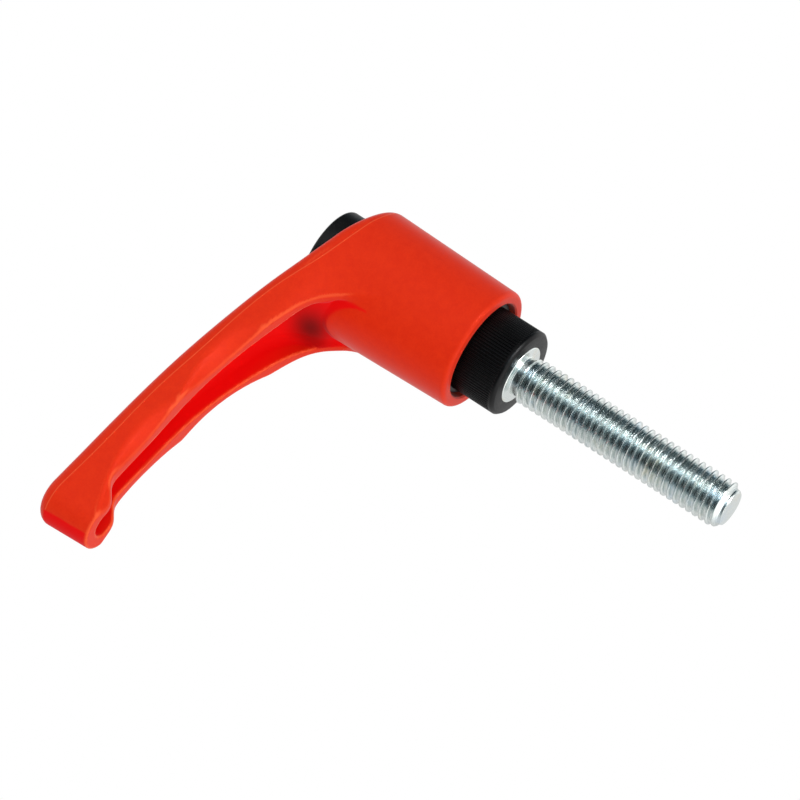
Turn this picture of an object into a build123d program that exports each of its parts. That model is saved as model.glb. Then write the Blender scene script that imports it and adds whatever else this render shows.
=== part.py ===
from build123d import *
import os
from math import cos, sin, tan, radians, pi

os.makedirs("parts", exist_ok=True)

# Adjustable clamping lever. Origin: on the stud's axis, in the plane of the seat that clamps.
# The stud points down (-Z), the button up (+Z), the arm out along +X.

# Stud, zinc-plated steel
stud_length = 50.0
thread_r = 4.93          # crests of an M10 x 1.5 thread
thread_pitch = 1.5
thread_depth = 0.92
thread_angle = 60.0
tip_chamfer = 1.4
undercut_r = 4.1
undercut_length = 1.4
seat_flange_r = 6.25
seat_flange_t = 1.5
waist_r = 5.3
hex_across = 11.0        # hexagon moulded into the insert, so it can't turn
hex_bottom = 4.0
hex_top = 14.0
neck_core_r = 3.9
neck_top = 33.0
tapped_r = 2.55
tapped_depth = 14.0

# Insert, black plastic moulded round the stud; its radii follow the hub's foot
collar_step = 0.94       # collar inside the ledge
collar_bottom = 0.15
collar_chamfer = 0.6
rib_count = 90
rib_depth = 0.26
rib_gap = 0.3            # share of the pitch that is groove
rib_start = 1.3
ledge_bottom = 10.5
ledge_top = 11.5
crown_top = 15.1
crown_step = 1.0         # roots of the teeth inside the ledge
tooth_count = 36
tooth_height = 1.0
root_half = 2.7          # half angle of a crown tooth at its root, degrees
tip_half = 1.5           # and at its tip
guide_r = 6.3

# Lever hub: the radius of its foot drives what sits inside it
hub_bottom = 9.25
hub_bottom_r = 13.1
hub_draft = 0.03         # growth of the radius per mm of height
mouth_wall = 2.42
mouth_gap = 0.38         # round the ledge
mouth_round = 1.0
mouth_chamfer = 0.3
web_t = 4.0
chamber_wall = 3.3
mesh_gap = 0.12          # play on each flank of the teeth
tip_gap = 0.15
drop_gap = 0.05          # under the web when the teeth are in mesh
guide_gap = 0.2
hub_cut = 39.0           # below this the hub is a plain drafted round

# Lever arm. Places along it are shares of its reach, and widths are shares of the hub's radius.
arm_reach = 76.1         # stud's axis to the middle of the round tip
tip_share = 0.473
tip_line = 52.4
arm_draft = 0.045
leave_angle = 77.0       # where the arm's sides leave the round hub
arm_side = [             # place, half width and height of the parting line
    (0.118, 0.969, 43.0), (0.227, 0.824, 46.5), (0.357, 0.718, 48.6),
    (0.566, 0.618, 50.7), (0.788, 0.534, 51.5),
]
top_line = [
    (-0.237, 42.0), (-0.092, 41.9), (0.02, 44.0), (0.118, 46.3), (0.223, 48.9), (0.355, 51.1),
    (0.526, 53.0), (0.736, 54.2), (1.183, 55.4),
]
top_round = 2.6
rim_line = [
    (0.108, 28.6), (0.125, 31.4), (0.145, 34.1), (0.168, 36.3), (0.183, 37.5), (0.218, 39.65), (0.272, 41.4),
    (0.332, 42.7), (0.463, 44.8), (0.604, 46.0),
]
rim_start = 3.3          # the arm's rim rises out of the hub from here
rim_level = 46.1
flat_run = 8.0
heel_back = 8.1          # the rim drops to the hooked tip this far before the tip's middle
heel_run = 7.5
heel_level = 42.6

# Channel under the arm
channel_start = (0.131, 0.664)
channel_side = [
    (0.183, 0.618), (0.272, 0.504), (0.397, 0.405), (0.532, 0.321), (0.687, 0.237), (0.841, 0.206),
]
channel_back = 0.1
channel_end_share = 0.202
channel_draft = 0.02
ceiling_line = [
    (0.131, 36.9), (0.166, 37.6), (0.185, 39.0), (0.202, 42.2), (0.25, 45.8), (0.329, 48.1), (0.465, 49.75),
    (0.607, 51.0), (0.756, 51.65), (1.051, 52.5),
]

# Scoops in the sides of the arm: place, how near the scoop comes to the arm's middle at one height,
# the lean and rise of its axis, and its radius
scoops = [
    (0.692, 0.819, 32.3, 29.3, 36.76),
    (0.392, 0.765, 27.1, 50.0, 23.63),
    (0.139, 1.207, 22.3, 47.8, 46.41),
]
scoop_level = 42.0

# Spring, washer, screw and button
wire_r = 0.7
coil_gap = 1.1           # round the coil in the chamber
active_turns = 2.5
washer_gap = 0.6
washer_t = 1.5
screw_r = 2.5
screw_length = 12.0
screw_hole_gap = 0.2
head_r = 4.6
head_h = 3.5
key_across = 3.0
key_depth = 2.0
button_gap = 0.27
button_top = 48.1
button_round = 0.8
button_wall = 1.8
socket_wall = 1.5
socket_gap = 0.05

# Fits that follow
mouth_r = hub_bottom_r - mouth_wall
ledge_r = mouth_r - mouth_gap
collar_r = ledge_r - collar_step
crown_root_r = ledge_r - crown_step
chamber_r = hub_bottom_r - chamber_wall
coil_r = chamber_r - wire_r - coil_gap
washer_r = chamber_r - washer_gap
button_r = chamber_r - button_gap
web_bottom = crown_top + drop_gap
web_top = web_bottom + web_t
guide_hole_r = guide_r + guide_gap
crown_tip_r = crown_root_r + tooth_height
lever_tip_r = crown_root_r + tip_gap
lever_root_r = crown_tip_r + tip_gap
teeth_bottom = ledge_top + 0.2
washer_top = neck_top + washer_t
head_top = washer_top + head_h
tip_r = tip_share * hub_bottom_r
channel_end_r = channel_end_share * hub_bottom_r
heel_x = arm_reach - heel_back
channel_end = arm_reach - channel_back
past = 20.0              # how far cutters reach past the lever
far_x = arm_reach + tip_r + past
side_reach = hub_bottom_r + past
roof_z = top_line[-1][1] + past
low = (Align.CENTER, Align.CENTER, Align.MIN)
high = (Align.CENTER, Align.CENTER, Align.MAX)


def along(line):
    # places along the arm, from shares of its reach to millimetres
    return [(share * arm_reach, *rest) for share, *rest in line]


def across(line):
    # the same for a line of places and half widths
    return [(x, width * hub_bottom_r, *rest) for x, width, *rest in along(line)]


def polar(r, angle):
    return (r * cos(radians(angle)), r * sin(radians(angle)))


def ring_of_points(points, count):
    step = 360 / count
    return [polar(r, a + i * step) for i in range(count) for r, a in points]


def upright(line):
    # a flat face standing in the XZ plane, made thicker than the lever
    return extrude(Plane.XZ.offset(-side_reach) * make_face(line), amount=2 * side_reach)


def hub_r(z):
    return hub_bottom_r + hub_draft * (z - hub_bottom)


# The stud. Its thread is rings at the pitch, lighter than a helix and with the same outline.
thread_top = -undercut_length - (thread_r - undercut_r)
thread_bottom = tip_chamfer - stud_length
turns = int((thread_top - thread_bottom) / thread_pitch)
first_groove = (thread_top + thread_bottom - (turns - 1) * thread_pitch) / 2
groove_half = thread_depth * tan(radians(thread_angle / 2))
grooves = []
for i in range(turns):
    z = first_groove + i * thread_pitch
    grooves += [(thread_r, z - groove_half), (thread_r - thread_depth, z), (thread_r, z + groove_half)]
core = Polyline(
    (0, -stud_length), (thread_r - tip_chamfer, -stud_length), (thread_r, thread_bottom), *grooves,
    (thread_r, thread_top), (undercut_r, -undercut_length), (undercut_r, 0),
    (seat_flange_r, 0), (seat_flange_r, seat_flange_t), (waist_r, seat_flange_t), (waist_r, hex_bottom),
    (neck_core_r, hex_bottom), (neck_core_r, neck_top), (0, neck_top), close=True,
)
hexagon = RegularPolygon(hex_across / 2, 6, major_radius=False)
stud_shape = revolve(Plane.XZ * make_face(core), axis=Axis.Z)
stud_shape += extrude(Pos(0, 0, hex_bottom) * hexagon, hex_top - hex_bottom)
tapped = Pos(0, 0, neck_top) * Cylinder(tapped_r, tapped_depth, align=high)
threaded_stud = stud_shape - tapped

# The insert: ribbed collar, ledge, toothed crown and the neck the lever slides on
rib_pitch = 360 / rib_count
gap_half = rib_pitch * rib_gap / 2
ribs = Polyline(
    *ring_of_points(
        [(collar_r, gap_half), (collar_r, rib_pitch - gap_half), (collar_r - rib_depth, rib_pitch)], rib_count
    ),
    close=True,
)
band = Pos(0, 0, collar_bottom) * Cylinder(collar_r, rib_start - collar_bottom, align=low)
band = chamfer(band.edges().group_by(Axis.Z)[0], collar_chamfer)
ribbed = extrude(Pos(0, 0, rib_start) * make_face(ribs), ledge_bottom - rib_start)
ledge = Pos(0, 0, ledge_bottom) * Cylinder(ledge_r, ledge_top - ledge_bottom, align=low)
crown_line = Polyline(
    *ring_of_points(
        [
            (crown_root_r, -root_half), (crown_tip_r, -tip_half),
            (crown_tip_r, tip_half), (crown_root_r, root_half),
        ],
        tooth_count,
    ),
    close=True,
)
crown = extrude(Pos(0, 0, ledge_top) * make_face(crown_line), crown_top - ledge_top)
neck = Pos(0, 0, crown_top) * Cylinder(guide_r, neck_top - crown_top, align=low)
toothed_insert = band + ribbed + ledge + crown + neck - stud_shape


# The lever's outline seen from above, at one height
def outline(z):
    r = hub_r(z)
    x0, y0 = polar(r, leave_angle)
    grow = tip_r + arm_draft * (z - tip_line)
    middle = [(x, y + arm_draft * (z - zp)) for x, y, zp in across(arm_side)]
    points = [(x0, y0), *middle, (arm_reach, grow)]
    leave = (sin(radians(leave_angle)), -cos(radians(leave_angle)))
    side = Spline(*points, tangents=(leave, (1, 0)))
    back = ThreePointArc((x0, y0), (-r, 0), (x0, -y0))
    tip = ThreePointArc((arm_reach, grow), (arm_reach + grow, 0), (arm_reach, -grow))
    return Pos(0, 0, z) * make_face([side, tip, mirror(side, Plane.XZ), back])


block_bottom = 29.0
block_top = 58.0
block = loft([outline(block_bottom), outline(block_top)], ruled=True)
crest = along(top_line)
over = [Spline(*crest), Polyline(crest[-1], (crest[-1][0], roof_z), (crest[0][0], roof_z), crest[0])]
block = block - upright(over)
top_face = block.faces().sort_by(Axis.Z)[-1]
block = fillet(top_face.edges(), top_round)

# Everything under the rim of the arm; the heel is two tangent arcs
heel_mid = (heel_x + heel_run / 2, (rim_level + heel_level) / 2)
heel_end = (heel_x + heel_run, heel_level)
flat_start = (heel_x - flat_run, rim_level)
rim = along(rim_line)
floor_z = hub_bottom
below = upright([
    Spline(*rim, flat_start),
    Line(flat_start, (heel_x, rim_level)),
    TangentArc((heel_x, rim_level), heel_mid, tangent=(1, 0)),
    TangentArc(heel_end, heel_mid, tangent=(-1, 0)),
    Polyline(
        heel_end, (far_x, heel_level), (far_x, floor_z), (-side_reach, floor_z), (-side_reach, hub_cut),
        (rim_start, hub_cut), rim[0],
    ),
])


def scoop(place, near, lean, rise, r):
    # a long round whose axis leans out from the arm's plane and tips back towards the hub
    out, back = radians(lean), radians(rise)
    axis = (-cos(out) * sin(back), sin(out), cos(out) * cos(back))
    middle = (place * arm_reach, near * hub_bottom_r + r, scoop_level)
    return Plane(origin=middle, z_dir=axis) * Cylinder(r, 2 * far_x)


scooped = [scoop(*s) for s in scoops]
scooped += [mirror(s, Plane.XZ) for s in scooped]


# The channel
def channel_outline(z):
    less = channel_draft * (z - rim_level)
    points = [(x, y - less) for x, y in across([channel_start] + channel_side)]
    end_r = channel_end_r - less
    side = Spline(*points, (channel_end, end_r))
    end = ThreePointArc((channel_end, end_r), (channel_end + end_r, 0), (channel_end, -end_r))
    start = Line((points[0][0], -points[0][1]), points[0])
    return Pos(0, 0, z) * make_face([side, end, mirror(side, Plane.XZ), start])


ceiling = along(ceiling_line)
under_ceiling = [
    Spline(*ceiling),
    Polyline(ceiling[-1], (ceiling[-1][0], floor_z), (ceiling[0][0], floor_z), ceiling[0]),
]
channel = loft([channel_outline(block_bottom - 5), channel_outline(block_top)], ruled=True)
channel = channel & upright(under_ceiling)

arm = block - below
for s in scooped:
    arm = arm - s
arm = arm - channel

hub_height = hub_cut - hub_bottom
hub = Pos(0, 0, hub_bottom) * Cone(
    hub_bottom_r, hub_r(hub_cut), hub_height, align=low
)
hub = fillet(hub.edges().group_by(Axis.Z)[0], mouth_round)
shell = arm + hub

# The hub's inside: mouth, teeth, web and the chamber for spring and button
play = mesh_gap / crown_root_r * 180 / pi
flank = (root_half - tip_half) / tooth_height
lever_gap_root = root_half - flank * (lever_tip_r - crown_root_r) + play
lever_gap_tip = root_half - flank * (lever_root_r - crown_root_r) + play
lever_line = Polyline(
    *ring_of_points(
        [
            (lever_tip_r, -lever_gap_root), (lever_root_r, -lever_gap_tip),
            (lever_root_r, lever_gap_tip), (lever_tip_r, lever_gap_root),
        ],
        tooth_count,
    ),
    close=True,
)
toothed = extrude(Pos(0, 0, teeth_bottom) * make_face(lever_line), web_bottom - teeth_bottom)
mouth = Pos(0, 0, hub_bottom - 1) * Cylinder(mouth_r, teeth_bottom - hub_bottom + 1, align=low)
mouth += Pos(0, 0, hub_bottom - 0.01) * Cone(mouth_r + mouth_chamfer, mouth_r, mouth_chamfer, align=low)
guide_hole = Pos(0, 0, web_bottom - 1) * Cylinder(guide_hole_r, web_t + 2, align=low)
chamber = Pos(0, 0, web_top) * Cylinder(chamber_r, 40, align=low)
lever = shell - mouth - toothed - guide_hole - chamber

# The spring, closed at both ends and ground flat
closed_pitch = 2 * wire_r + 0.1
spring_height = neck_top - web_top
rise = spring_height - 2 * closed_pitch
middle_turn = 360 * active_turns
foot = Pos(0, 0, web_top) * Helix(closed_pitch, closed_pitch, coil_r)
middle = Pos(0, 0, web_top + closed_pitch) * Helix(rise / active_turns, rise, coil_r)
head_coil = Pos(0, 0, web_top + closed_pitch + rise) * Rotation(0, 0, middle_turn) * Helix(
    closed_pitch, closed_pitch, coil_r
)
wire = Wire(foot.edges() + middle.edges() + head_coil.edges())
wire_section = Plane(origin=wire @ 0, z_dir=wire % 0) * RegularPolygon(wire_r, 8)
between = Pos(0, 0, web_top) * Cylinder(coil_r + 2, spring_height, align=low)
return_spring = sweep(wire_section, path=wire, is_frenet=True) & between

# Washer, screw and button
seat_washer = Pos(0, 0, neck_top) * (
    Cylinder(washer_r, washer_t, align=low) - Cylinder(screw_r + screw_hole_gap, washer_t, align=low)
)
shank = Pos(0, 0, washer_top) * Cylinder(screw_r, screw_length + washer_t, align=high)
head = chamfer(
    (Pos(0, 0, washer_top) * Cylinder(head_r, head_h, align=low)).edges().group_by(Axis.Z)[-1], 0.4
)
key = Pos(0, 0, head_top - key_depth) * RegularPolygon(key_across / 2, 6, major_radius=False)
key = extrude(key, key_depth)
retaining_screw = shank + head - key

roof = button_top - button_wall
cap = Pos(0, 0, washer_top) * Cylinder(button_r, button_top - washer_top, align=low)
cap = fillet(cap.edges().group_by(Axis.Z)[-1], button_round)
socket_bottom = washer_top + 0.4
hollow = Pos(0, 0, washer_top) * Cylinder(button_r - button_wall, roof - washer_top, align=low)
socket_r = head_r + socket_gap
socket = Pos(0, 0, socket_bottom) * (
    Cylinder(socket_r + socket_wall, roof - socket_bottom, align=low)
    - Cylinder(socket_r, roof - socket_bottom, align=low)
)
push_button = cap - hollow + socket

pieces = {
    "threaded_stud": threaded_stud,
    "toothed_insert": toothed_insert,
    "lever": lever,
    "return_spring": return_spring,
    "seat_washer": seat_washer,
    "retaining_screw": retaining_screw,
    "push_button": push_button,
}
for name, piece in pieces.items():
    solids = piece.solids()
    print(name, len(solids), round(piece.volume, 1), piece.is_valid)
    export_step(Compound(children=solids) if len(solids) > 1 else solids[0], f"parts/{name}.step")
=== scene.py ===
import bmesh
import bpy
import numpy as np
from math import cos, sin, pi, radians, tan
from mathutils import Matrix, Vector


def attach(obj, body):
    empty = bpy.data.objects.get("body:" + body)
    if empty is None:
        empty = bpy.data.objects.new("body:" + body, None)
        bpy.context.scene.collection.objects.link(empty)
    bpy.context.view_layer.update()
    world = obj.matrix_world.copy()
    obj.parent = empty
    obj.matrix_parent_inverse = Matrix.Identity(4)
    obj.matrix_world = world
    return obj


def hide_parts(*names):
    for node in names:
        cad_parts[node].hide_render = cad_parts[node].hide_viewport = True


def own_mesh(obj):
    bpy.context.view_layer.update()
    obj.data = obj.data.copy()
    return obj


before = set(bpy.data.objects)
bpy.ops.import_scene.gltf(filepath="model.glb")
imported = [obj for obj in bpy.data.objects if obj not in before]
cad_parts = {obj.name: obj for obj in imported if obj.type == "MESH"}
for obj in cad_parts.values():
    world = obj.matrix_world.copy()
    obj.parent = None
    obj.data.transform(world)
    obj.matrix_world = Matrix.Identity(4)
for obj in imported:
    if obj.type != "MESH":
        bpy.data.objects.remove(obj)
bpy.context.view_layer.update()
mm = 0.001  # the shapes below are worked out in millimetres


# Meshes

def makePiece(name, points, faces, body, sharpAngle=32):
    mesh = bpy.data.meshes.new(name)
    mesh.from_pydata((np.asarray(points, float) * mm).tolist(), [], [list(f) for f in faces])
    mesh.validate()
    obj = bpy.data.objects.new(name, mesh)
    bpy.context.scene.collection.objects.link(obj)
    mesh.shade_smooth()
    mesh.set_sharp_from_angle(angle=radians(sharpAngle))
    if body:
        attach(obj, body)
    return obj


def ringGrid(rows, around):
    # rows of points, each closed on itself, joined by quads
    faces = []
    for i in range(rows - 1):
        for j in range(around):
            k = (j + 1) % around
            faces.append((i * around + j, i * around + k, (i + 1) * around + k, (i + 1) * around + j))
    return faces


def lathe(profile, around=192):
    # profile: (radius, height) from the bottom outwards and up, closed on the axis where the radius is 0
    angles = np.linspace(0, 2 * pi, around, endpoint=False)
    points = [(r * cos(a), r * sin(a), z) for r, z in profile for a in angles]
    return points, ringGrid(len(profile), around)


def rounded(profile, radii, steps=5):
    # the same profile with an arc in place of each corner that has a radius
    out = []
    for i, p in enumerate(profile):
        r = radii[i] if i < len(radii) else 0
        if not r or i == 0 or i == len(profile) - 1:
            out.append(p)
            continue
        a, b, c = (np.array(profile[j], float) for j in (i - 1, i, i + 1))
        u, v = a - b, c - b
        u, v = u / np.linalg.norm(u), v / np.linalg.norm(v)
        half = np.arccos(np.clip(u @ v, -1, 1)) / 2
        if half > 1.55:
            out.append(p)
            continue
        back = r / tan(half)
        centre = b + (u + v) / np.linalg.norm(u + v) * r / sin(half)
        start, end = b + u * back - centre, b + v * back - centre
        sweep = np.arctan2(start[0] * end[1] - start[1] * end[0], start @ end)
        for q in np.linspace(0, sweep, steps):
            turned = (cos(q) * start[0] - sin(q) * start[1], sin(q) * start[0] + cos(q) * start[1])
            out.append(tuple(centre + turned))
    return out


def merged(obj, distance):
    # the same piece with points that lie together made one
    mesh = bmesh.new()
    mesh.from_mesh(obj.data)
    bmesh.ops.remove_doubles(mesh, verts=mesh.verts, dist=distance * mm)
    bmesh.ops.recalc_face_normals(mesh, faces=mesh.faces)
    mesh.to_mesh(obj.data)
    mesh.free()
    return obj


def smoothLine(points):
    # heights along x through the points, and the slope, as two lookups
    x, z = np.array(points, float).T
    n = len(x)
    h = np.diff(x)
    a = np.zeros((n, n))
    b = np.zeros(n)
    a[0, 0] = a[-1, -1] = 1
    for i in range(1, n - 1):
        a[i, i - 1:i + 2] = h[i - 1], 2 * (h[i - 1] + h[i]), h[i]
        b[i] = 6 * ((z[i + 1] - z[i]) / h[i] - (z[i] - z[i - 1]) / h[i - 1])
    m = np.linalg.solve(a, b)
    fine = np.linspace(x[0], x[-1], 1200)
    k = np.clip(np.searchsorted(x, fine) - 1, 0, n - 2)
    t = fine - x[k]
    height = z[k] + t * ((z[k + 1] - z[k]) / h[k] - h[k] * (2 * m[k] + m[k + 1]) / 6)
    height += t * t * m[k] / 2 + t ** 3 * (m[k + 1] - m[k]) / (6 * h[k])
    slope = np.gradient(height, fine)
    return lambda v: (np.interp(v, fine, height), np.interp(v, fine, slope))


def rise(value, start, end):
    # 0 up to the start, 1 from the end on
    return np.clip((value - start) / (end - start), 0, 1)


def roundMax(a, b, r):
    # the part common to two solids, the edge between them rounded
    return np.minimum(np.maximum(a, b), -r) + np.hypot(np.maximum(a + r, 0), np.maximum(b + r, 0))


def softMin(a, b, k):
    # two solids joined, with a fillet that grows with k
    h = np.maximum(k - np.abs(a - b), 0) / k
    return np.minimum(a, b) - h * h * k / 4


def surfaceNet(field, low, high, step):
    # the surface where the field is 0, as points and quads
    axes = [np.arange(a, b + step, step) for a, b in zip(low, high)]
    x, y, z = np.meshgrid(*axes, indexing="ij")
    f = field(x, y, z)
    n = np.array(f.shape)
    total = np.zeros((*(n - 1), 3))
    count = np.zeros(n - 1)
    grid = np.stack([x, y, z], -1)
    quads = []
    cell = np.full(n - 1, -1)
    crossings = []
    for axis in range(3):
        first = tuple(slice(0, -1) if i == axis else slice(None) for i in range(3))
        second = tuple(slice(1, None) if i == axis else slice(None) for i in range(3))
        f0, f1 = f[first], f[second]
        crossed = (f0 < 0) != (f1 < 0)
        share = np.where(crossed, f0 / np.where(crossed, f0 - f1, 1), 0)
        at = grid[first] + (grid[second] - grid[first]) * share[..., None]
        others = [i for i in range(3) if i != axis]
        for p in (0, 1):
            for q in (0, 1):
                pick = [slice(None)] * 3
                pick[others[0]] = slice(p, p + n[others[0]] - 1)
                pick[others[1]] = slice(q, q + n[others[1]] - 1)
                hit = crossed[tuple(pick)]
                total += at[tuple(pick)] * hit[..., None]
                count += hit
        crossings.append((axis, others, crossed, f0 < 0))
    used = count > 0
    cell[used] = np.arange(used.sum())
    points = total[used] / count[used][:, None]
    for axis, others, crossed, inside in crossings:
        ids = np.argwhere(crossed)
        ok = np.all((ids[:, others] > 0) & (ids[:, others] < n[others] - 1), axis=1)
        ids = ids[ok]
        corner = []
        for p, q in ((-1, -1), (0, -1), (0, 0), (-1, 0)):
            c = ids.copy()
            c[:, others[0]] += p
            c[:, others[1]] += q
            corner.append(cell[tuple(c.T)])
        quad = np.stack(corner, 1)
        flip = inside[tuple(ids.T)] == (axis == 1)
        quad[flip] = quad[flip][:, ::-1]
        quads.append(quad)
    gap = 0.02
    for _ in range(3):  # each point moves onto the surface along the field's slope
        value = field(*points.T)
        slopes = np.stack([
            (field(*(points + gap * e).T) - field(*(points - gap * e).T)) / (2 * gap) for e in np.eye(3)
        ], 1)
        move = slopes * (value / np.maximum((slopes ** 2).sum(1), 0.05))[:, None]
        length = np.linalg.norm(move, axis=1, keepdims=True)
        points = points - move * np.minimum(1, 0.4 * step / np.maximum(length, 1e-9))
    return points, np.concatenate(quads)


# Lever: heights and half widths along the arm, measured from the stud's axis
lever = {
    "hubBottom": 9.25, "hubRadius": 13.1, "hubDraft": 0.03, "footRound": 1.0, "hubSeam": 40.5,
    "armStart": 3.15, "armDraft": 0.06, "topRound": 2.6, "tipX": 76.1, "tipRadius": 6.2,
    "rimRound": 0.42, "scoopSoftness": 0.5, "ceilingRound": 2.2, "rootFillet": 1.3,
    "channelEndX": 76.0, "channelEndRadius": 2.65, "channelDraft": 0.02, "channelLevel": 46.0,
    # where along x the drafts change over; where along x and how far out in y the root fillet sets in
    "draftsMeet": (3, 11), "filletAlong": (5, 10), "filletBeside": (6.5, 8),
    "vaultLevel": 29.7, "vaultRadius": 7.874, "hubFront": 15.5,  # where the channel ends on the hub
    "channelMaskStart": (9.5, 11.5),  # where along x the channel's mask sets in, and with it the painted red interreflection
    "cornerAt": (15.3, -2.8, 39.9), "cornerSize": (2.1, 6.0, 6.0),  # where painted shade darkens the corner of channel and hub, and how far it reaches
    "highlightAlong": (12, 66), "highlightBand": 1.3,  # where the painted edge highlight keeps to a band over the rim, and how high
    "cell": 0.36,
}
seamLine = smoothLine([
    (-20, 39.3), (-12.4, 39.3), (-7.8, 39.3), (-4.5, 39.8), (0, lever["hubSeam"]), (3, 41.3), (8.8, 43.1),
    (17.3, 46.4), (27.2, 48.6), (38.1, 49.9), (48.5, 51.1), (63.3, 51.7), (77.2, 52.4), (84, 52.7),
])
topLine = smoothLine([
    (-20, 41.9), (-7, 41.9), (1.5, 44.0), (9, 46.3), (17, 48.9), (27, 51.1), (40, 53.0), (56, 54.2),
    (90, 55.2),
])
sideLine = smoothLine([
    (lever["armStart"], 13.65), (9, 12.7), (17.3, 10.8), (27.2, 9.4), (43.1, 8.1), (60, 7.0), (70, 6.4),
    (lever["tipX"], lever["tipRadius"]),
])
rimLine = smoothLine([
    (0, 16), (6, 24), (8.2, 28.6), (9.5, 31.4), (11.0, 34.1), (12.8, 36.3), (13.9, 37.5), (16.6, 39.65),
    (20.7, 41.4), (25.3, 42.7), (35.2, 44.8), (46, 46), (59.6, 46.1), (66, 46.12), (68, 46.08), (70.1, 45.6),
    (71.75, 44.35), (73.4, 43.1), (75.5, 42.62), (78, 42.6), (90, 42.6),
])
channelLine = smoothLine([
    (8, 7.9), (13.9, 8.1), (20.7, 6.6), (30.2, 5.3), (40.5, 4.2), (52.3, 3.1), (64, 2.7),
    (lever["channelEndX"], lever["channelEndRadius"]),
])
ceilingLine = smoothLine([
    (6, 36.2), (10, 36.8), (12.6, 37.4), (14.2, 39.2), (15.8, 42.4), (19, 45.8), (25, 48.1), (35.4, 49.75),
    (46.2, 51.0), (57.5, 51.65), (84, 52.6),
])
scoops = [  # rounds that hollow the arm's sides: a point on the axis, its lean and rise in degrees, radius
    {"at": (52.64, 47.49, 42), "lean": 32.3, "rise": 29.3, "radius": 36.76},
    {"at": (29.80, 33.65, 42), "lean": 27.1, "rise": 50.0, "radius": 23.63},
    {"at": (10.55, 62.23, 42), "lean": 22.3, "rise": 47.8, "radius": 46.41},
]


def overLine(line, x, z):
    height, slope = line(x)
    return (z - height) / np.sqrt(1 + slope * slope)


def scoopField(x, y, z, scoop):
    lean, climb = radians(scoop["lean"]), radians(scoop["rise"])
    axis = (-cos(lean) * sin(climb), sin(lean), cos(lean) * cos(climb))
    px, py, pz = (v - c for v, c in zip((x, y, z), scoop["at"]))
    along = px * axis[0] + py * axis[1] + pz * axis[2]
    return scoop["radius"] - np.sqrt(np.maximum(px * px + py * py + pz * pz - along * along, 1e-9))


def leverField(x, y, z):
    # below 0 inside the moulding, above 0 outside it, without the bore
    y = np.abs(y)
    hub = np.hypot(x, y) - lever["hubRadius"] - lever["hubDraft"] * (z - lever["hubBottom"])
    seam, _ = seamLine(x)
    onArm = rise(x, *lever["draftsMeet"])
    less = lever["armDraft"] * np.abs(z - seam) * onArm
    less += lever["hubDraft"] * (lever["hubSeam"] - z) * (1 - onArm)
    wide, slope = sideLine(x)
    side = (y - wide + less) / np.sqrt(1 + slope * slope)
    tip = np.hypot(x - lever["tipX"], y) - lever["tipRadius"] + less
    side = np.where(x < lever["tipX"], side, tip)
    top = overLine(topLine, x, z)
    arm = roundMax(np.where(x > lever["armStart"], np.minimum(side, hub), hub), top, lever["topRound"])
    for scoop in scoops:
        arm = roundMax(arm, scoopField(x, y, z, scoop), lever["scoopSoftness"])
    arm = roundMax(arm, -overLine(rimLine, x, z), lever["rimRound"])
    wide, slope = channelLine(x)
    narrower = lever["channelDraft"] * (z - lever["channelLevel"])
    inner = (y - wide + narrower) / np.sqrt(1 + slope * slope)
    end = np.hypot(x - lever["channelEndX"], y) - lever["channelEndRadius"] + narrower
    inner = np.where(x < lever["channelEndX"], inner, end)
    channel = roundMax(inner, overLine(ceilingLine, x, z), lever["ceilingRound"])
    arm = roundMax(arm, -channel, lever["rimRound"])
    hub = roundMax(hub, top, lever["topRound"])
    hub = roundMax(hub, lever["hubBottom"] - z, lever["footRound"])
    beside = rise(x, *lever["filletAlong"]) * rise(y, *lever["filletBeside"])  # it stays out of the channel
    return softMin(arm, hub, 0.02 + lever["rootFillet"] * beside)


teeth = {"count": 36, "points": 10}  # the lever's teeth and the insert's mesh, so they share their number
bore = {
    "start": 8.0, "mouth": 10.68, "mouthChamfer": 0.3, "toothBottom": 11.7, "toothTop": 15.15,
    "toothTip": 9.45, "toothRoot": 10.45, "neckHole": 6.5, "floorTop": 19.15, "chamber": 9.8, "end": 60.0,
}


def aroundTeeth():
    # for each point of a toothed ring, how far it lies from the middle of its tooth space
    return [abs(j % teeth["points"] - teeth["points"] / 2) for j in range(teeth["count"] * teeth["points"])]


def ringPoints(rings, around):
    # rings: a radius, or a list with one for each point, and a height
    points = []
    for radius, height in rings:
        for j in range(around):
            r = radius[j] if isinstance(radius, list) else max(radius, 0.001)
            points.append((r * cos(2 * pi * j / around), r * sin(2 * pi * j / around), height))
    return points


def leverBore():
    # the cutter for mouth, teeth, guide hole and button chamber
    toothed = [bore["toothTip"] if away <= 2 else bore["toothRoot"] for away in aroundTeeth()]
    opening = bore["mouth"] + bore["mouthChamfer"]
    rings = [
        (0, bore["start"]), (opening, bore["start"]), (opening, lever["hubBottom"]),
        (bore["mouth"], lever["hubBottom"] + bore["mouthChamfer"]), (bore["mouth"], bore["toothBottom"]),
        (toothed, bore["toothBottom"]), (toothed, bore["toothTop"]),
        (bore["neckHole"], bore["toothTop"]), (bore["neckHole"], bore["floorTop"]),
        (bore["chamber"], bore["floorTop"]), (bore["chamber"], bore["end"]), (0, bore["end"]),
    ]
    return ringPoints(rings, len(toothed)), ringGrid(len(rings), len(toothed))


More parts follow.
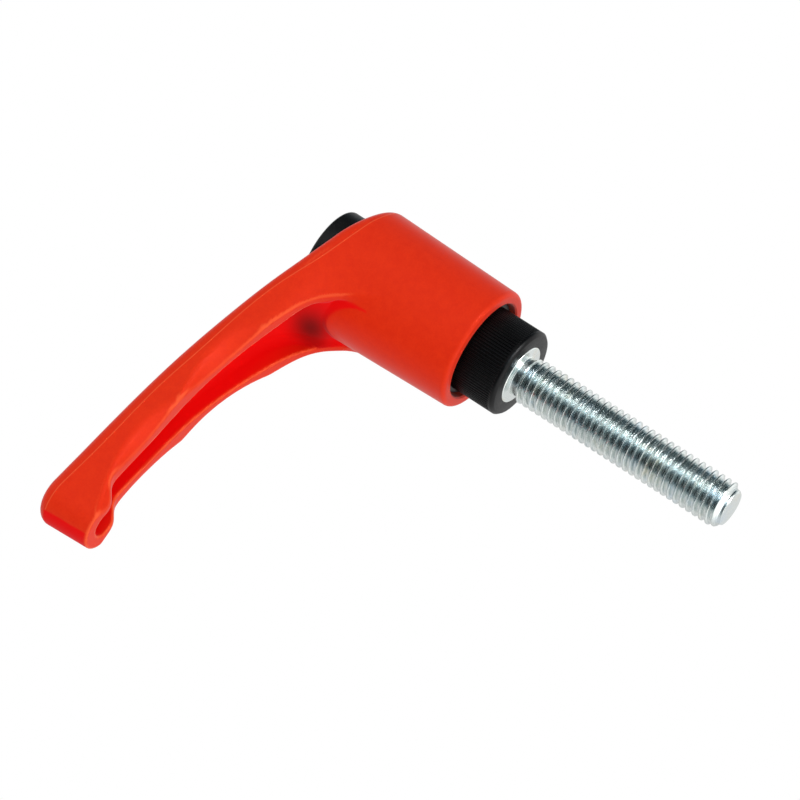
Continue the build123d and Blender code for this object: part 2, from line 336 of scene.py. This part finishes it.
box = (-15, -15, 8.6), (83.6, 15, 56.4)  # with room all round the lever
points, quads = surfaceNet(leverField, *box, lever["cell"])
leverPiece = makePiece("leverBody", points, quads, None)
cutPoints, cutFaces = leverBore()
cutter = merged(makePiece("leverCutter", cutPoints, cutFaces, None), 0.0012)
cut = leverPiece.modifiers.new("bore", "BOOLEAN")
cut.object = cutter
cut.operation = "DIFFERENCE"
cut.solver = "EXACT"
bpy.context.view_layer.update()
baked = bpy.data.meshes.new_from_object(leverPiece.evaluated_get(bpy.context.evaluated_depsgraph_get()))
leverPiece.modifiers.clear()
leverPiece.data = baked
bpy.data.objects.remove(cutter)
baked.shade_smooth()
baked.set_sharp_from_angle(angle=radians(38))
places = np.zeros(len(baked.vertices) * 3)
baked.vertices.foreach_get("co", places)
places = places.reshape(-1, 3) / mm


def bake(name, values):
    layer = baked.attributes.new(name, "FLOAT", "POINT")
    layer.data.foreach_set("value", values.astype(np.float32))


def channelDepth(x, y, z):
    # 0 outside the channel under the arm, rising to 1 inside it
    wide, _ = channelLine(np.maximum(x, 8))
    rim, _ = rimLine(np.clip(x, 8, 80))
    ceiling, _ = ceilingLine(np.clip(x, 6, 84))
    vault = lever["vaultLevel"] + np.sqrt(np.maximum(lever["vaultRadius"] ** 2 - y * y, 0))
    inside = np.where(x < lever["hubFront"], rise(z, vault, vault + 0.45), rise(z, rim + 0.2, rim + 0.8))
    inside = inside * rise(ceiling + 0.6 - z, 0, 0.4) * rise(x, *lever["channelMaskStart"])
    return inside * rise(wide + 0.2 - np.abs(y), 0, 0.2)


def edgeTurn(points, reach=0.35):
    # how sharply the surface turns outwards at each point
    total = sum(leverField(*(points + reach * s * e).T) for e in np.eye(3) for s in (1, -1))
    return np.clip((total - 6 * leverField(*points.T)) / reach ** 2 - 1.0, 0, 1)


heights, slopes = seamLine(places[:, 0])
bake("seam", (places[:, 2] - heights) / np.sqrt(1 + slopes ** 2))
inChannel = channelDepth(*places.T)
bake("inChannel", inChannel)
# painted shade: the channel's corner by the hub darkened, as if in shadow
fromCorner = (places - lever["cornerAt"]) / lever["cornerSize"]
bake("corner", inChannel * np.exp(-(fromCorner ** 2).sum(1)))
# painted highlight along convex edges, on the arm kept to a band over the rim
overRim = places[:, 2] - rimLine(np.clip(places[:, 0], 8, 80))[0]
start, end = lever["highlightAlong"]
onArm = (places[:, 0] > start) & (places[:, 0] < end)
bake("edgeHighlight", edgeTurn(places) * np.where(onArm, rise(lever["highlightBand"] - overRim, 0, 0.6), 1))
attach(leverPiece, "handle")
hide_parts("lever")
print("lever", len(baked.vertices), "points", len(baked.polygons), "faces")


# Stud: plain head and shank from the CAD's sizes, the thread as a true right-hand helix
stud = {
    "length": 50.0, "crest": 4.93, "root": 4.06, "pitch": 1.5, "crestWidth": 0.2, "rootWidth": 0.32,
    "turn": 130.0, "chamfer": 1.35, "chamferRise": 0.9, "fadeDepth": 0.45, "fadeOver": 0.6,
    "threadTop": -1.35, "runOut": 1.2, "undercut": 4.1, "flange": 6.27, "flangeTop": 1.5,
    "waist": 5.0, "waistTop": 4.0, "body": 6.2, "bodyTop": 14.0, "post": 3.9, "postTop": 33.0,
    "tapHole": 2.55, "tapBottom": 19.0,
}


def threadPiece(around=96):
    flank = (stud["pitch"] - stud["crestWidth"] - stud["rootWidth"]) / 2
    crest, root = stud["crest"], stud["root"]
    marks = [0, stud["crestWidth"], stud["crestWidth"] + flank, stud["pitch"] - flank, stud["pitch"]]
    stops = [s for a, b in zip(marks, marks[1:]) for s in np.linspace(a, b, 3, endpoint=False)]
    radii = np.interp(stops, marks, [crest, crest, root, root, crest])
    low, high = -stud["length"], stud["threadTop"]
    turns = range(-int(stud["length"] / stud["pitch"]) - 3, 2)  # a few too many, cut to the length below
    rows = [(n * stud["pitch"] + s, r) for n in turns for s, r in zip(stops, radii)]
    points = []
    for z0, r0 in rows:
        for j in range(around + 1):
            a = 2 * pi * j / around
            z = min(max(z0 + stud["pitch"] * (j / around + stud["turn"] / 360), low), high)
            end = crest - stud["chamfer"] + (z - low) * stud["chamferRise"]
            end -= (crest - r0) * stud["fadeDepth"] * min((z - low) / stud["fadeOver"], 1)
            start = stud["undercut"] + (high - z) * stud["runOut"]
            r = min(r0, end, start)
            points.append((r * cos(a), r * sin(a), z))
    w = around + 1
    faces = [
        (i * w + j, i * w + j + 1, (i + 1) * w + j + 1, (i + 1) * w + j)
        for i in range(len(rows) - 1) for j in range(around)
    ]
    return points, faces


def headProfile():
    # from the thread's run-out up the outside, over the top and down the tapped hole
    corners = [
        (stud["undercut"], stud["threadTop"] - 0.02), (stud["undercut"], 0), (stud["flange"], 0),
        (stud["flange"], stud["flangeTop"]), (stud["waist"], stud["flangeTop"]),
        (stud["waist"], stud["waistTop"]), (stud["body"], stud["waistTop"]),
        (stud["body"], stud["bodyTop"]), (stud["post"], stud["bodyTop"]),
        (stud["post"], stud["postTop"]), (stud["tapHole"], stud["postTop"]),
        (stud["tapHole"], stud["tapBottom"]), (0.001, stud["tapBottom"]),
    ]
    return rounded(corners, [0, 0.25, 0.25, 0.1, 0.1, 0.1, 0.2, 0.2, 0.1, 0.1, 0.1])


thread = merged(makePiece("studThread", *threadPiece(), "core", 24), 0.002)
endRadius = stud["crest"] - stud["chamfer"] + 0.01
tipFace = makePiece("studTip", *lathe([(0.001, -stud["length"]), (endRadius, -stud["length"])]), "core")
studHead = makePiece("studHead", *lathe(headProfile()), "core")
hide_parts("threaded_stud")
print("stud done")


# Insert: collar with fine ribs, ledge, crown and neck
collar = {
    "ribs": 90, "pointsPerRib": 10, "ribDepth": 0.3, "ribSharpness": 2.6,
    "outline": [  # radius, height, and the share of the ribs' depth there
        (6.3, 0.15, 0), (8.74, 0.15, 0), (8.86, 0.2, 0), (9.28, 0.66, 0), (9.36, 0.82, 0), (9.36, 1.2, 0),
        (9.36, 1.4, 0.5), (9.36, 1.7, 1), (9.36, 10.5, 1),
    ],
}
crown = {
    "ledge": 10.3, "ledgeInside": 9.0, "ledgeBottom": 10.5, "ledgeTop": 11.5, "ledgeRound": 0.25,
    "toothTip": 10.3, "toothRoot": 9.3, "tipChamfer": 0.2, "rootChamfer": 0.1, "chamferBottom": 14.9,
    "toothTop": 15.1, "neck": 6.3, "neckTop": 33.0, "inside": 3.9,
}


def collarPiece():
    each = collar["pointsPerRib"]
    around = collar["ribs"] * each
    points = []
    for radius, height, share in collar["outline"]:
        for j in range(around):
            groove = 1 - abs(j % each / each - 0.5) / 0.5
            r = radius - collar["ribDepth"] * share * groove ** collar["ribSharpness"]
            points.append((r * cos(2 * pi * j / around), r * sin(2 * pi * j / around), height))
    return points, ringGrid(len(collar["outline"]), around)


def ledgePiece():
    corners = [
        (crown["ledgeInside"], crown["ledgeBottom"]), (crown["ledge"], crown["ledgeBottom"]),
        (crown["ledge"], crown["ledgeTop"]), (crown["toothRoot"], crown["ledgeTop"]),
    ]
    return lathe(rounded(corners, [0, crown["ledgeRound"], crown["ledgeRound"]]), 240)


def crownPiece():
    raised = [away >= 4 for away in aroundTeeth()]
    tooth = [crown["toothTip"] if up else crown["toothRoot"] for up in raised]
    edge = [r - (crown["tipChamfer"] if up else crown["rootChamfer"]) for r, up in zip(tooth, raised)]
    rings = [
        (tooth, crown["ledgeTop"]), (tooth, crown["chamferBottom"]), (edge, crown["toothTop"]),
        (crown["neck"], crown["toothTop"]), (crown["neck"], crown["neckTop"]),
        (crown["inside"], crown["neckTop"]),
    ]
    return ringPoints(rings, len(tooth)), ringGrid(len(rings), len(tooth))


collarRing = makePiece("insertCollar", *collarPiece(), "core", 50)
ledge = makePiece("insertLedge", *ledgePiece(), "core")
crownRing = makePiece("insertCrown", *crownPiece(), "core")
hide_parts("toothed_insert")
print("insert done")


# Push button: a cap with a plug inside it
cap = {
    "radius": 9.53, "top": 48.1, "topRound": 0.7, "bottom": 34.5, "inside": 7.73, "ceiling": 46.3,
    "plug": 6.2, "plugBottom": 35.0,
}


def capProfile():
    corners = [
        (cap["plug"], cap["plugBottom"]), (cap["plug"], cap["ceiling"]), (cap["inside"], cap["ceiling"]),
        (cap["inside"], cap["bottom"]), (cap["radius"], cap["bottom"]), (cap["radius"], cap["top"]),
        (0.001, cap["top"]),
    ]
    return rounded(corners, [0, 0.4, 0.4, 0.1, 0.2, cap["topRound"]], 7)


button = makePiece("buttonCap", *lathe(capProfile(), 256), "core")
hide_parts("push_button")


# Spring, in coils closed at both ends
spring = {"low": 19.15, "high": 33.0, "radius": 8.0, "wire": 0.7, "turns": 4.5, "travel": 4.8}


def springPiece(stepsPerTurn=48, sides=14):
    steps = int(spring["turns"] * stepsPerTurn)
    closedRise = 2 * spring["wire"] + 0.1  # over the first and the last turn
    openTurns = spring["turns"] - 2
    openRise = (spring["high"] - spring["low"] - 2 * closedRise) / openTurns
    points = []
    for i in range(steps + 1):
        t = i / stepsPerTurn
        z = spring["low"] + closedRise * min(t, 1) + openRise * min(max(t - 1, 0), openTurns)
        z += closedRise * max(t - spring["turns"] + 1, 0)
        a = 2 * pi * t
        for j in range(sides):
            b = 2 * pi * j / sides
            r = spring["radius"] + spring["wire"] * cos(b)
            # the ends are ground flat
            h = min(max(z + spring["wire"] * sin(b), spring["low"]), spring["high"])
            points.append((r * cos(a), r * sin(a), h))
    faces = ringGrid(steps + 1, sides)
    faces += [tuple(range(sides)), tuple(range(steps * sides, (steps + 1) * sides))[::-1]]
    return points, faces


coil = makePiece("springCoil", *springPiece(), "coil", 40)
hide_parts("return_spring")
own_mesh(coil)
print("button and spring done")


# Materials: helpers, then the effects that several of them share, as node groups

def addNode(tree, kind, inputs=None, **settings):
    # a node with its settings, each input given as a value or as another node's output
    node = tree.nodes.new(kind if kind.startswith("NodeGroup") else "ShaderNode" + kind)
    for name, value in settings.items():
        setattr(node, name, value)
    for key, value in (inputs or {}).items():
        if isinstance(value, bpy.types.NodeSocket):
            tree.links.new(value, node.inputs[key])
        else:
            node.inputs[key].default_value = value
    return node


def calc(tree, operation, *values):
    return addNode(tree, "Math", dict(enumerate(values)), operation=operation).outputs[0]


def plus(tree, first, second):
    return calc(tree, "ADD", first, second)


def minus(tree, first, second):
    return calc(tree, "SUBTRACT", first, second)


def times(tree, first, second):
    return calc(tree, "MULTIPLY", first, second)


def remap(tree, value, low, high, newLow=0.0, newHigh=1.0, smooth=False):
    inputs = {"Value": value, "From Min": low, "From Max": high, "To Min": newLow, "To Max": newHigh}
    kind = "SMOOTHSTEP" if smooth else "LINEAR"
    return addNode(tree, "MapRange", inputs, interpolation_type=kind).outputs["Result"]


def blend(tree, share, first, second):
    # colours: each a socket, or red, green and blue
    first, second = (c if isinstance(c, bpy.types.NodeSocket) else (*c, 1) for c in (first, second))
    inputs = {0: share, 6: first, 7: second}
    return addNode(tree, "Mix", inputs, data_type="RGBA").outputs[2]


def newGroup(name, inputs, outputs):
    group = bpy.data.node_groups.new(name, "ShaderNodeTree")
    for label, value in inputs.items():
        socket = group.interface.new_socket(name=label, in_out="INPUT", socket_type="NodeSocketFloat")
        socket.default_value = value
    for label in outputs:
        group.interface.new_socket(name=label, in_out="OUTPUT", socket_type="NodeSocketFloat")
    return group, group.nodes.new("NodeGroupInput").outputs, group.nodes.new("NodeGroupOutput").inputs


def place(tree, group, **inputs):
    node = tree.nodes.new("ShaderNodeGroup")
    node.node_tree = group
    for name, value in inputs.items():
        node.inputs[name].default_value = value
    return node.outputs


def noise(tree, where, scale, detail, roughness):
    inputs = {"Vector": where, "Scale": scale, "Detail": detail, "Roughness": roughness}
    return addNode(tree, "TexNoise", inputs).outputs["Fac"]


def mouldGrain():
    # fine eroded texture of a mould, with a slow cloudiness over it
    tree, given, out = newGroup("mouldGrain", {"Scale": 2600.0, "Cloud": 120.0}, ["Height", "Tone"])
    where = addNode(tree, "TexCoord").outputs["Object"]
    fine = noise(tree, where, given["Scale"], 2.0, 0.6)
    slow = noise(tree, where, given["Cloud"], 3.0, 0.55)
    mixed = plus(tree, times(tree, fine, 0.45), times(tree, slow, 0.55))
    tree.links.new(fine, out["Height"])
    tree.links.new(remap(tree, mixed, 0.36, 0.64), out["Tone"])
    return tree


def specks():
    # single grains that sit apart from each other
    tree, given, out = newGroup("specks", {"Spacing": 160.0, "Size": 0.03, "Share": 0.2}, ["Mask"])
    where = addNode(tree, "TexCoord").outputs["Object"]
    cells = addNode(tree, "TexVoronoi", {"Vector": where, "Scale": given["Spacing"]})
    near = calc(tree, "LESS_THAN", cells.outputs["Distance"], given["Size"])
    split = addNode(tree, "SeparateColor", {"Color": cells.outputs["Color"]})
    chosen = calc(tree, "LESS_THAN", split.outputs[0], given["Share"])
    tree.links.new(times(tree, near, chosen), out["Mask"])
    return tree


def roundAxis(tree):
    # place round the stud's axis: x, y and height, the radius, and the direction as cosine and sine
    split = addNode(tree, "SeparateXYZ", {0: addNode(tree, "TexCoord").outputs["Object"]}).outputs
    squares = plus(tree, calc(tree, "POWER", split[0], 2.0), calc(tree, "POWER", split[1], 2.0))
    radius = calc(tree, "SQRT", squares)
    safe = calc(tree, "MAXIMUM", radius, 0.0001)
    return split, radius, calc(tree, "DIVIDE", split[0], safe), calc(tree, "DIVIDE", split[1], safe)


def turnMarks():
    # the fine rings that turning, drawing or pressing leaves round an axis
    tree, given, out = newGroup("turnMarks", {"Lines": 4200.0, "Drift": 1.5}, ["Height", "Tone"])
    split, radius, cosine, sine = roundAxis(tree)
    along = times(tree, plus(tree, split[2], times(tree, radius, 1.7)), given["Lines"])
    sideways = {1: times(tree, cosine, given["Drift"]), 2: times(tree, sine, given["Drift"])}
    where = addNode(tree, "CombineXYZ", {0: along, **sideways}).outputs[0]
    rings = noise(tree, where, 1.0, 2.0, 0.6)
    tree.links.new(rings, out["Height"])
    tree.links.new(remap(tree, rings, 0.35, 0.65), out["Tone"])
    return tree


def rollMarks():
    # streaks that thread rolling draws out along the helix; the thread's colour also uses them for painted
    # dark reflections
    inputs = {"Pitch": 0.0015, "Fineness": 1.8, "Drift": 0.6}
    tree, given, out = newGroup("rollMarks", inputs, ["Height", "Tone"])
    split, radius, cosine, sine = roundAxis(tree)
    turned = calc(tree, "DIVIDE", calc(tree, "ARCTAN2", split[1], split[0]), 2 * pi)
    phase = times(tree, minus(tree, calc(tree, "DIVIDE", split[2], given["Pitch"]), turned), 2 * pi)
    where = addNode(tree, "CombineXYZ", {
        0: times(tree, calc(tree, "COSINE", phase), given["Fineness"]),
        1: times(tree, calc(tree, "SINE", phase), given["Fineness"]),
        2: plus(tree, times(tree, split[2], 140.0), times(tree, cosine, given["Drift"])),
    }).outputs[0]
    streaks = addNode(tree, "TexNoise", {
        "Vector": where, "W": times(tree, sine, given["Drift"]),
        "Scale": 1.0, "Detail": 3.0, "Roughness": 0.7,
    }, noise_dimensions="4D").outputs["Fac"]
    tree.links.new(streaks, out["Height"])
    tree.links.new(remap(tree, streaks, 0.34, 0.66), out["Tone"])
    return tree


def platingTint():
    # slow drift of a clear passivated zinc layer between warm and cool
    tree, given, out = newGroup("platingTint", {"Scale": 210.0}, ["Warm", "Cool"])
    where = addNode(tree, "TexCoord").outputs["Object"]
    drift = noise(tree, where, given["Scale"], 3.0, 0.6)
    tree.links.new(remap(tree, drift, 0.55, 0.75), out["Warm"])
    tree.links.new(remap(tree, drift, 0.46, 0.3), out["Cool"])
    return tree


grainGroup = mouldGrain()
speckGroup = specks()
turnGroup = turnMarks()
rollGroup = rollMarks()
tintGroup = platingTint()


def newMaterial(name, metallic=0.0, specular=0.5):
    material = bpy.data.materials.new(name)
    material.use_nodes = True
    shader = material.node_tree.nodes["Principled BSDF"]
    shader.inputs["Metallic"].default_value = metallic
    shader.inputs["Specular IOR Level"].default_value = specular
    return material, material.node_tree, shader


def finish(tree, shader, colour, roughness, height, depth):
    tree.links.new(colour, shader.inputs["Base Color"])
    tree.links.new(roughness, shader.inputs["Roughness"])
    bump = addNode(tree, "Bump", {"Height": height, "Distance": depth, "Strength": 1.0})
    tree.links.new(bump.outputs[0], shader.inputs["Normal"])


redPlastic = {  # colours, among them painted red interreflection in the channel, painted shade in its corner by the hub and painted edge highlights; then how rough (from and to) and glossy, then grain, dots, parting line and edge highlights
    "main": (0.80, 0.023, 0.0008), "pale": (0.85, 0.030, 0.0015), "inChannel": (0.9, 0.0, 0.0),
    "corner": (0.2, 0.0, 0.0), "edgeHighlight": (1.0, 0.11, 0.03), "seam": (1.0, 0.13, 0.04),
    "dot": (0.05, 0.01, 0.008), "rough": (0.37, 0.44), "deepRough": 0.4, "specular": 0.12,
    "sheen": 0.16, "sheenRough": 0.35, "bump": 0.00004, "grain": 2300.0, "grainHeight": 0.35, "cloud": 620.0,
    "dotSpacing": 140.0, "dotSize": 0.022, "dotShare": 0.3, "dotDepth": 0.8,
    "seamWidth": 0.19, "seamShare": 0.6, "edgeHighlightShare": 0.85,
}


def leverMaterial(values):
    material, tree, shader = newMaterial("redPlastic", specular=values["specular"])
    shader.inputs["Sheen Weight"].default_value = values["sheen"]
    shader.inputs["Sheen Roughness"].default_value = values["sheenRough"]
    grain = place(tree, grainGroup, Scale=values["grain"], Cloud=values["cloud"])
    names = ("seam", "inChannel", "corner", "edgeHighlight")
    seam, inChannel, corner, edgeHighlight = (addNode(tree, "Attribute", attribute_name=n).outputs["Fac"] for n in names)
    line = remap(tree, calc(tree, "ABSOLUTE", seam), 0.0, values["seamWidth"], 1.0, 0.0, smooth=True)
    line = times(tree, line, minus(tree, 1.0, inChannel))
    spread = {"Spacing": values["dotSpacing"], "Size": values["dotSize"], "Share": values["dotShare"]}
    dots = place(tree, speckGroup, **spread)["Mask"]
    colour = blend(tree, grain["Tone"], values["main"], values["pale"])
    # painted highlight on convex edges
    colour = blend(tree, times(tree, edgeHighlight, values["edgeHighlightShare"]), colour, values["edgeHighlight"])
    colour = blend(tree, times(tree, line, values["seamShare"]), colour, values["seam"])
    # painted red interreflection: the channel's inside made a purer, brighter red, as bounced light would
    colour = blend(tree, inChannel, colour, values["inChannel"])
    # painted shade in the channel's corner by the hub
    colour = blend(tree, corner, colour, values["corner"])
    colour = blend(tree, times(tree, dots, values["dotDepth"]), colour, values["dot"])
    rough = remap(tree, grain["Tone"], 0.0, 1.0, *values["rough"])
    rough = plus(tree, rough, times(tree, inChannel, values["deepRough"]))
    height = plus(tree, times(tree, grain["Height"], values["grainHeight"]), line)
    finish(tree, shader, colour, rough, height, values["bump"])
    return material


insertPlastic = {
    "main": (0.0008, 0.0008, 0.001), "pale": (0.003, 0.003, 0.0035), "dust": (0.16, 0.16, 0.17),
    "rough": (0.32, 0.42), "specular": 0.2, "bump": 0.00002, "grain": 3400.0, "cloud": 260.0,
    "dustSpacing": 420.0, "dustSize": 0.035, "dustShare": 0.12, "dustDepth": 0.5,
}
buttonPlastic = {
    **insertPlastic, "main": (0.0015, 0.0014, 0.0016), "pale": (0.005, 0.0048, 0.005),
    "rough": (0.36, 0.46), "specular": 0.3, "dustSpacing": 300.0,
}


def blackMaterial(name, values):
    material, tree, shader = newMaterial(name, specular=values["specular"])
    grain = place(tree, grainGroup, Scale=values["grain"], Cloud=values["cloud"])
    spread = {"Spacing": values["dustSpacing"], "Size": values["dustSize"], "Share": values["dustShare"]}
    dust = place(tree, speckGroup, **spread)["Mask"]
    colour = blend(tree, grain["Tone"], values["main"], values["pale"])
    colour = blend(tree, times(tree, dust, values["dustDepth"]), colour, values["dust"])
    rough = remap(tree, grain["Tone"], 0.0, 1.0, *values["rough"])
    finish(tree, shader, colour, rough, grain["Height"], values["bump"])
    return material


threadZincFinish = {  # colours, among them a painted dark reflection for the streaks, how rough from and to, then how deep, fine and wandering the marks are
    "main": (0.79, 0.84, 0.82), "warm": (0.85, 0.83, 0.72), "cool": (0.72, 0.81, 0.86),
    "darkReflection": (0.36, 0.43, 0.45), "darkReflectionShare": 0.8, "rough": (0.13, 0.27), "tintScale": 210.0,
    "bump": 0.00008, "fineness": 1.5, "drift": 0.6,
}
plainZincFinish = {**threadZincFinish, "bump": 0.000008, "lines": 4200.0, "drift": 1.5}
springFinish = {
    "main": (0.42, 0.43, 0.46), "warm": (0.46, 0.42, 0.36), "cool": (0.36, 0.40, 0.48),
    "rough": (0.24, 0.38), "tintScale": 210.0, "bump": 0.00001, "lines": 4200.0, "drift": 1.5,
}


def metalMaterial(name, values, threaded=False):
    material, tree, shader = newMaterial(name, metallic=1.0)
    if threaded:
        inputs = {"Pitch": stud["pitch"] * mm, "Fineness": values["fineness"], "Drift": values["drift"]}
        marks = place(tree, rollGroup, **inputs)
    else:
        marks = place(tree, turnGroup, Lines=values["lines"], Drift=values["drift"])
    tint = place(tree, tintGroup, Scale=values["tintScale"])
    colour = blend(tree, tint["Warm"], values["main"], values["warm"])
    colour = blend(tree, tint["Cool"], colour, values["cool"])
    if threaded:
        # painted dark reflection: streaks of the roll marks darkened as if mirroring dark things
        streaks = remap(tree, marks["Tone"], 0.55, 0.0, 0.0, values["darkReflectionShare"])
        colour = blend(tree, streaks, colour, values["darkReflection"])
    rough = remap(tree, marks["Tone"], 0.0, 1.0, *values["rough"])
    finish(tree, shader, colour, rough, marks["Height"], values["bump"])
    return material


leverRed = leverMaterial(redPlastic)
insertBlack = blackMaterial("insertBlack", insertPlastic)
buttonBlack = blackMaterial("buttonBlack", buttonPlastic)
threadZinc = metalMaterial("threadZinc", threadZincFinish, threaded=True)
plainZinc = metalMaterial("plainZinc", plainZincFinish)
springSteel = metalMaterial("springSteel", springFinish)


def dress(obj, material):
    obj.data.materials.clear()
    obj.data.materials.append(material)


dress(leverPiece, leverRed)
dress(thread, threadZinc)
for piece in (tipFace, studHead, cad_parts["seat_washer"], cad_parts["retaining_screw"]):
    dress(piece, plainZinc)
for piece in (collarRing, ledge, crownRing):
    dress(piece, insertBlack)
dress(button, buttonBlack)
dress(coil, springSteel)
print("materials done")


# Camera, floor and light
view = {  # which ways the camera's right and down point, and where the stud's origin lies from it, in metres
    "right": (-0.6115, 0.0015, -0.7912), "down": (0.6651, -0.5408, -0.5150),
    "distance": 0.743, "rightwards": 0.0238431, "downwards": -0.0048235, "lens": 170.5185, "sensor": 36.0,
}
scene = bpy.context.scene
right = Vector(view["right"]).normalized()
down = Vector(view["down"])
down = (down - down.dot(right) * right).normalized()
ahead = right.cross(down)
cameraPlace = -(right * view["rightwards"] + down * view["downwards"] + ahead * view["distance"])
camera = bpy.data.objects.new("camera", bpy.data.cameras.new("camera"))
scene.collection.objects.link(camera)
camera.matrix_world = Matrix.Translation(cameraPlace) @ Matrix((right, -down, -ahead)).transposed().to_4x4()
camera.data.sensor_width = view["sensor"]
camera.data.lens = view["lens"]
camera.data.clip_start = 0.05
camera.data.clip_end = 20
scene.camera = camera

ground = {"half": 4.0, "height": -0.6, "colour": (0.9, 0.9, 0.9), "rough": 0.8}
floorMesh = bpy.data.meshes.new("floor")
half = ground["half"]
corners = [(x, y, ground["height"]) for x, y in ((-half, -half), (half, -half), (half, half), (-half, half))]
floorMesh.from_pydata(corners, [], [(0, 1, 2, 3)])
floor = bpy.data.objects.new("floor", floorMesh)
scene.collection.objects.link(floor)
floorPaint, _, floorShader = newMaterial("floorPaint")
floorShader.inputs["Base Color"].default_value = (*ground["colour"], 1)
floorShader.inputs["Roughness"].default_value = ground["rough"]
floor.data.materials.append(floorPaint)
floor.visible_diffuse = floor.visible_glossy = floor.visible_shadow = False  # the tent lights from below too


def toward(angle, fromLens):
    # a direction by its angle round the lens, from the right, and its angle away from the lens, in degrees
    a, b = radians(angle), radians(fromLens)
    return (right * cos(a) - down * sin(a)) * sin(b) - ahead * cos(b)


# a white tent lit from below right, with bright and dark things round the camera that gloss picks up
# lights and glints: angle, degrees from the lens, how much, how narrow
# dark: angle, degrees from the lens, the cosines where it starts and where it is full, its share
studio = {
    "base": 0.42, "lights": [(-41, 68, 1.20, 3.9), (112, 38, 0.64, 1.9)], "gloss": 0.70,
    "glints": [
        (-41, 68, 1.6, 6), (30, 46, 46, 90), (58, 23, 22, 110), (146, 58, 0.80, 16), (10, 124, 0.50, 12),
    ],
    "dark": [(-168, 42, 0.66, 0.95, 0.98), (82, 98, 0.64, 0.91, 0.93), (150, 10, 0.72, 0.97, 0.5)],
    "tint": (0.36, 0.80, 1.0),
}
world = bpy.data.worlds.new("studio")
world.use_nodes = True
scene.world = world
tree = world.node_tree
background = tree.nodes["Background"]
where = addNode(tree, "TexCoord").outputs["Generated"]


def facing(angle, fromLens):
    directions = {0: where, 1: toward(angle, fromLens)}
    return addNode(tree, "VectorMath", directions, operation="DOT_PRODUCT").outputs["Value"]


def addGlows(total, glows):
    for angle, fromLens, amount, narrow in glows:
        fall = calc(tree, "EXPONENT", times(tree, minus(tree, facing(angle, fromLens), 1.0), narrow))
        total = plus(tree, total, times(tree, fall, amount))
    return total


lit = addGlows(studio["base"], studio["lights"])
seen = addGlows(studio["gloss"], studio["glints"])
left = 1.0
for angle, fromLens, starts, full, share in studio["dark"]:
    kept = remap(tree, facing(angle, fromLens), starts, full, 1.0, 1.0 - share, smooth=True)
    left = times(tree, left, kept)
rays = addNode(tree, "LightPath").outputs
glossy = rays["Is Glossy Ray"]
colour = blend(tree, times(tree, glossy, minus(tree, 1.0, left)), (1, 1, 1), studio["tint"])
mirrored = times(tree, times(tree, seen, left), glossy)
strength = plus(tree, mirrored, times(tree, lit, minus(tree, 1.0, glossy)))
tree.links.new(colour, background.inputs["Color"])
tree.links.new(strength, background.inputs["Strength"])
white = addNode(tree, "Background", {"Color": (1, 1, 1, 1), "Strength": 1.0})
mix = addNode(tree, "MixShader", {0: rays["Is Camera Ray"], 1: background.outputs[0], 2: white.outputs[0]})
tree.links.new(mix.outputs[0], tree.nodes["World Output"].inputs["Surface"])

scene.view_settings.view_transform = "Standard"
print("camera, floor and light done")
